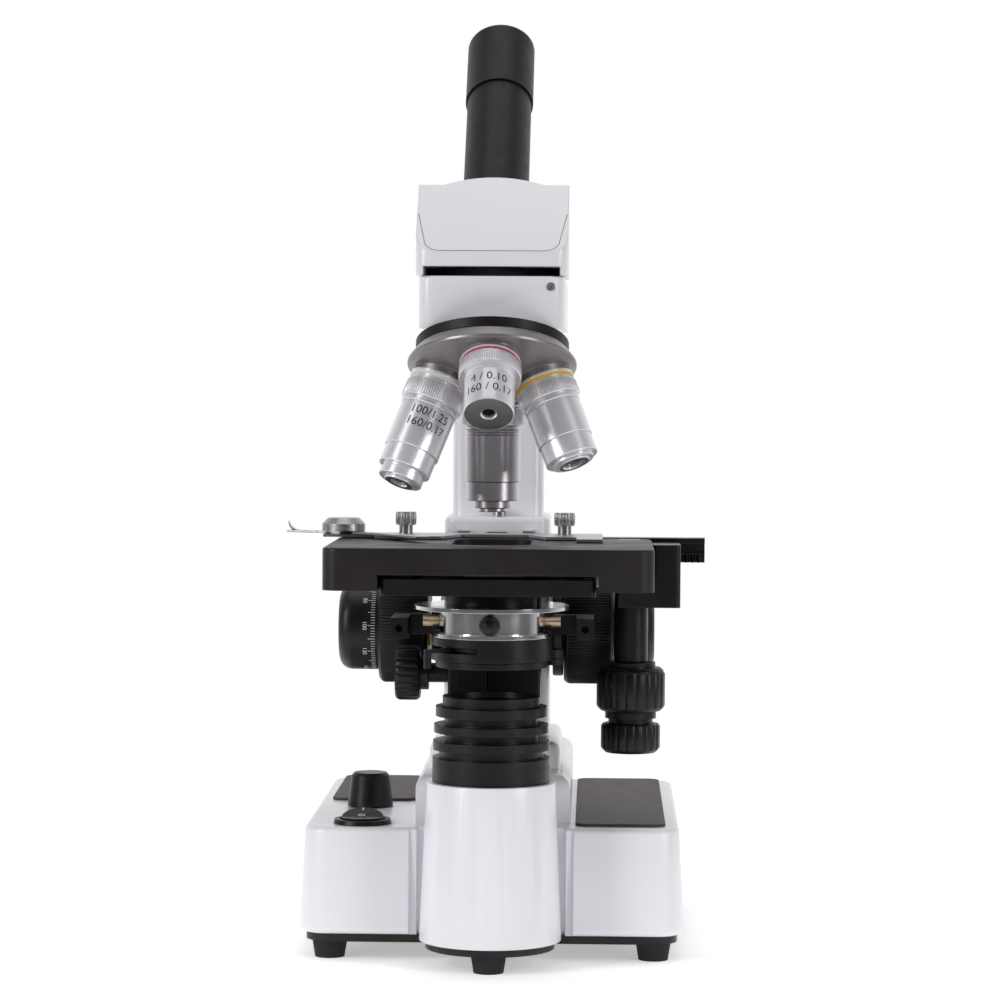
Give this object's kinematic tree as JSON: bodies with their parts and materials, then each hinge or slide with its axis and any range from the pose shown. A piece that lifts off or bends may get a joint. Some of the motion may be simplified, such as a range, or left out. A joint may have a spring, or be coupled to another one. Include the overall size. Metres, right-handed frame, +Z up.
{
  "type": "compound microscope",
  "caption": "Monocular compound microscope with a turning nosepiece, focusing mechanical stage, substage condenser and a base with built-in light.",
  "frame": {"origin": "on the table, under the middle of the whole microscope", "axes": "+Z up, -Y towards the side that the nosepiece faces, +X to the right seen from there"},
  "size_m": [0.172, 0.2446, 0.3836],
  "materials": {
    "white_plastic": "satin gloss",
    "white_casting": "cast alloy under satin white enamel",
    "black_plastic": "satin moulded",
    "black_metal": "satin black enamel",
    "rubber": "matt",
    "pad_grey": "fine grained",
    "steel": "machined",
    "chrome": "polished",
    "grey_metal": "satin grey enamel on cast alloy",
    "aluminium": "satin chromed",
    "bronze": "plain bearing bronze",
    "glass": "polished",
    "circuit": "white solder mask"
  },
  "bodies": {
    "stand": {"rubber_feet": "rubber", "base_plate": "black_metal", "stand_screws": "steel", "base_housing": "white_plastic", "rest_pads": "pad_grey", "illuminator_collar": "black_plastic", "illuminator_barrel": "black_plastic", "field_lens_ring": "black_plastic", "field_lens": "glass", "led_board": "circuit", "switch_housing": "black_plastic", "dimmer_potentiometer": "steel", "dc_socket": "black_plastic", "arm_casting": "white_casting", "set_screws": "steel", "focus_guide_rails": "steel", "focus_bushes": "bronze", "nosepiece_base": "black_metal", "turret_pivot_screw": "steel", "head_seat_ring": "black_metal"},
    "rocker": {"power_rocker": "black_plastic"},
    "dimmer": {"dimmer_knob": "black_plastic"},
    "turret": {"turret": "grey_metal", "objective_4x": "aluminium", "objective_10x": "aluminium", "objective_40x": "aluminium", "objective_100x": "aluminium", "front_lenses": "glass"},
    "head": {"head_shell": "white_plastic", "prism": "glass", "eyepiece_tube": "black_metal"},
    "eyepiece": {"eyepiece_body": "black_plastic", "eye_lens": "glass"},
    "coarse_focus": {"coarse_shaft": "steel", "coarse_knobs": "black_plastic"},
    "fine_focus": {"fine_shaft": "steel", "fine_knobs": "black_plastic"},
    "tension": {"tension_collar": "black_plastic"},
    "focus": {"focus_slide": "black_metal", "focus_rack": "steel", "stage_lower_plate": "black_metal", "stage_y_rack": "steel"},
    "stage": {"stage_top_plate": "black_metal", "knob_bracket": "black_metal"},
    "y_drive": {"y_knob": "black_plastic"},
    "x_drive": {"x_knob": "black_plastic"},
    "cross_slide": {"x_slide_bar": "black_metal", "slide_holder": "steel", "holder_screws": "steel"},
    "finger": {"slide_finger": "steel"},
    "condenser": {"condenser_carrier": "black_metal", "condenser_rack": "steel", "condenser_body": "chrome", "condenser_lens_mount": "black_plastic", "condenser_lens": "glass", "iris_housing": "black_metal", "condenser_screws": "steel"},
    "condenser_drive": {"condenser_knob": "black_plastic"},
    "iris": {"iris_lever": "black_metal"},
    "filter": {"filter_holder": "black_metal"}
  },
  "joints": [
    {"name": "focus_move", "type": "slide", "parent": "stand", "child": "focus", "axis": [0, 0, 1], "range_m": [-0.007, 0.0097]},
    {"name": "coarse_focus_turn", "type": "hinge", "parent": "stand", "child": "coarse_focus", "pos_m": [0, 0.0095, 0.1304], "axis": [1, 0, 0], "range_deg": [-94, 68]},
    {"name": "fine_focus_turn", "type": "hinge", "parent": "stand", "child": "fine_focus", "pos_m": [0, 0.0095, 0.1304], "axis": [1, 0, 0], "continuous": true},
    {"name": "tension_turn", "type": "hinge", "parent": "stand", "child": "tension", "pos_m": [0, 0.0095, 0.1304], "axis": [1, 0, 0], "range_deg": [-40, 40]},
    {"name": "stage_y_move", "type": "slide", "parent": "focus", "child": "stage", "axis": [0, 1, 0], "range_m": [-0.022, 0.0025]},
    {"name": "y_knob_turn", "type": "hinge", "parent": "stage", "child": "y_drive", "pos_m": [0.056, -0.0277, 0.11], "axis": [0, 0, 1], "range_deg": [-212, 25]},
    {"name": "stage_x_move", "type": "slide", "parent": "stage", "child": "cross_slide", "axis": [1, 0, 0], "range_m": [-0.027, 0.03]},
    {"name": "x_knob_turn", "type": "hinge", "parent": "stage", "child": "x_drive", "pos_m": [0.056, -0.0277, 0.09], "axis": [0, 0, 1], "range_deg": [-288, 259]},
    {"name": "finger_swing", "type": "hinge", "parent": "cross_slide", "child": "finger", "pos_m": [-0.062, -0.0275, 0.172], "axis": [0, 0, -1], "range_deg": [0, 35], "stiffness_Nm_per_rad": 0.05, "springref_deg": -5.73},
    {"name": "condenser_move", "type": "slide", "parent": "focus", "child": "condenser", "axis": [0, 0, 1], "range_m": [-0.004, 0.001]},
    {"name": "condenser_knob_turn", "type": "hinge", "parent": "focus", "child": "condenser_drive", "pos_m": [-0.03, -0.0245, 0.1142], "axis": [1, 0, 0], "range_deg": [-11, 40]},
    {"name": "iris_turn", "type": "hinge", "parent": "condenser", "child": "iris", "pos_m": [0, -0.0605, 0.1276], "axis": [0, 0, 1], "range_deg": [-30, 30]},
    {"name": "filter_swing", "type": "hinge", "parent": "condenser", "child": "filter", "pos_m": [0.0245, -0.0515, 0.121], "axis": [0, 0, 1], "range_deg": [0, 80]},
    {"name": "turret_turn", "type": "hinge", "parent": "stand", "child": "turret", "pos_m": [0, -0.0605, 0.286], "axis": [0, -0.342, -0.9397], "continuous": true},
    {"name": "head_turn", "type": "hinge", "parent": "stand", "child": "head", "pos_m": [0, -0.0605, 0.275], "axis": [0, 0, 1], "continuous": true},
    {"name": "eyepiece_slide", "type": "slide", "parent": "head", "child": "eyepiece", "axis": [0, 0.7071, 0.7071], "range_m": [0, 0.018]},
    {"name": "rocker_press", "type": "hinge", "parent": "stand", "child": "rocker", "pos_m": [-0.053, -0.0385, 0.0547], "axis": [-1, 0, 0], "range_deg": [0, 18]},
    {"name": "dimmer_turn", "type": "hinge", "parent": "stand", "child": "dimmer", "pos_m": [-0.0534, 0.0145, 0.06], "axis": [0, 0, 1], "range_deg": [0, 270]}
  ],
  "couplings": [
    {"joint": "coarse_focus_turn", "follows": "focus_move", "rad_per_m": -166.67},
    {"joint": "y_knob_turn", "follows": "stage_y_move", "rad_per_m": 166.67},
    {"joint": "x_knob_turn", "follows": "stage_x_move", "rad_per_m": -166.67},
    {"joint": "condenser_knob_turn", "follows": "condenser_move", "rad_per_m": -166.67}
  ]
}
